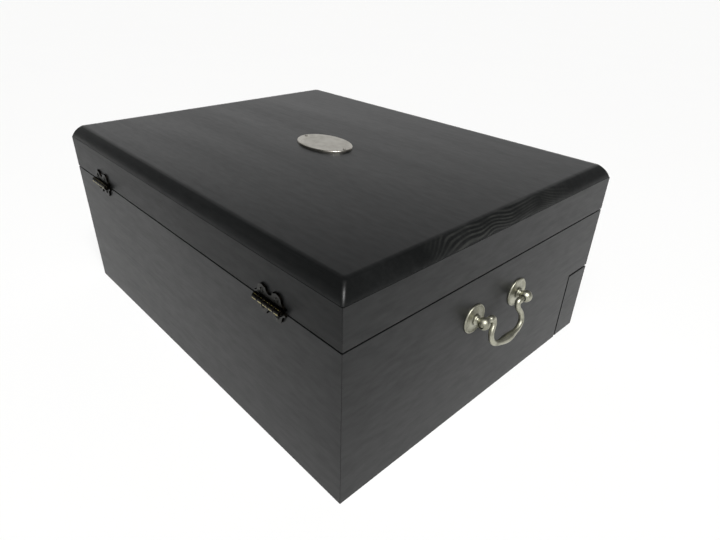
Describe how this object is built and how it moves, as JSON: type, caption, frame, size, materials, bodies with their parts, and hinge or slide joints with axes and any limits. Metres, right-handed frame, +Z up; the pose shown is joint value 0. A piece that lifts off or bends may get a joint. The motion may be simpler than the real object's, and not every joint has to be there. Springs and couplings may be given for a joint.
{
  "type": "silverware chest",
  "caption": "Black-stained wooden silverware chest with a hinged lid on slotted stays, a full-width drawer below, swinging side bails and a bare oval nameplate.",
  "frame": {"origin": "centre of the chest's base on the surface it stands on", "axes": "+X along the width, to the right seen from the drawer side; drawer front faces -Y, hinges at +Y; +Z up"},
  "size_m": [0.498, 0.3776, 0.1935],
  "materials": {
    "ebonised_wood": "black-stained hardwood, satin lacquer",
    "inner_wood": "dark-stained, thinly sealed",
    "lining_cloth": "brushed tarnish-proof flannel",
    "base_felt": "pressed wool felt",
    "bumper": "soft matt",
    "satin_nickel": "satin nickel plate",
    "aged_bronze": "antique bronze, brass showing where rubbed"
  },
  "bodies": {
    "chest": {"back_panel": "ebonised_wood", "left_side_panel": "ebonised_wood", "right_side_panel": "ebonised_wood", "front_panel": "ebonised_wood", "compartment_floor": "inner_wood", "base_panel": "inner_wood", "base_felt": "base_felt", "drawer_runners": "inner_wood", "drawer_stop_rail": "inner_wood", "drawer_buffers": "base_felt", "floor_lining": "lining_cloth", "wall_linings": "lining_cloth", "front_rack": "lining_cloth", "rear_rack": "lining_cloth", "lid_bumpers": "bumper", "left_hinge_body_leaf": "aged_bronze", "right_hinge_body_leaf": "aged_bronze", "left_hinge_pin": "aged_bronze", "right_hinge_pin": "aged_bronze", "hinge_body_screws": "aged_bronze", "left_handle_rosettes": "satin_nickel", "left_handle_posts": "satin_nickel", "left_handle_screws": "satin_nickel", "right_handle_rosettes": "satin_nickel", "right_handle_posts": "satin_nickel", "right_handle_screws": "satin_nickel", "stay_studs": "satin_nickel"},
    "lid": {"lid_top_board": "ebonised_wood", "lid_front_rail": "ebonised_wood", "lid_back_rail": "ebonised_wood", "lid_left_rail": "ebonised_wood", "lid_right_rail": "ebonised_wood", "lid_panel": "lining_cloth", "nameplate": "satin_nickel", "nameplate_pins": "satin_nickel", "left_hinge_lid_leaf": "aged_bronze", "right_hinge_lid_leaf": "aged_bronze", "hinge_lid_screws": "aged_bronze", "stay_pivots": "satin_nickel"},
    "left_stay": {"left_stay_arm": "satin_nickel"},
    "right_stay": {"right_stay_arm": "satin_nickel"},
    "left_handle": {"left_bail": "satin_nickel"},
    "right_handle": {"right_bail": "satin_nickel"},
    "drawer": {"drawer_front": "ebonised_wood", "drawer_left_return": "ebonised_wood", "drawer_right_return": "ebonised_wood", "drawer_inner_front": "inner_wood", "drawer_left_side": "inner_wood", "drawer_right_side": "inner_wood", "drawer_back": "inner_wood", "drawer_bottom": "inner_wood", "drawer_lining": "lining_cloth", "drawer_divider": "lining_cloth", "drawer_pull_rosettes": "satin_nickel", "drawer_pull_posts": "satin_nickel", "drawer_pull_screws": "satin_nickel"},
    "left_pull": {"left_pull_bail": "satin_nickel"},
    "right_pull": {"right_pull_bail": "satin_nickel"}
  },
  "joints": [
    {"name": "lid_hinge", "type": "hinge", "parent": "chest", "child": "lid", "pos_m": [0, 0.1812, 0.1453], "axis": [-1, 0, 0], "range_deg": [0, 95]},
    {"name": "left_stay_swing", "type": "hinge", "parent": "lid", "child": "left_stay", "pos_m": [-0.21375, 0.15165, 0.1505], "axis": [1, 0, 0], "range_deg": [0, 47.5]},
    {"name": "right_stay_swing", "type": "hinge", "parent": "lid", "child": "right_stay", "pos_m": [0.21375, 0.15165, 0.1505], "axis": [1, 0, 0], "range_deg": [0, 47.5]},
    {"name": "drawer_slide", "type": "slide", "parent": "chest", "child": "drawer", "axis": [0, -1, 0], "range_m": [0, 0.21]},
    {"name": "left_handle_swing", "type": "hinge", "parent": "chest", "child": "left_handle", "pos_m": [-0.2385, 0, 0.104], "axis": [0, 1, 0], "range_deg": [-25.5, 81]},
    {"name": "right_handle_swing", "type": "hinge", "parent": "chest", "child": "right_handle", "pos_m": [0.2385, 0, 0.104], "axis": [0, -1, 0], "range_deg": [-25.5, 81]},
    {"name": "left_pull_swing", "type": "hinge", "parent": "drawer", "child": "left_pull", "pos_m": [-0.114, -0.188, 0.048], "axis": [-1, 0, 0], "range_deg": [-11.5, 95]},
    {"name": "right_pull_swing", "type": "hinge", "parent": "drawer", "child": "right_pull", "pos_m": [0.114, -0.188, 0.048], "axis": [-1, 0, 0], "range_deg": [-11.5, 95]}
  ],
  "couplings": [
    {"joint": "left_stay_swing", "follows": "lid_hinge", "ratio": 0.5},
    {"joint": "right_stay_swing", "follows": "lid_hinge", "ratio": 0.5}
  ]
}
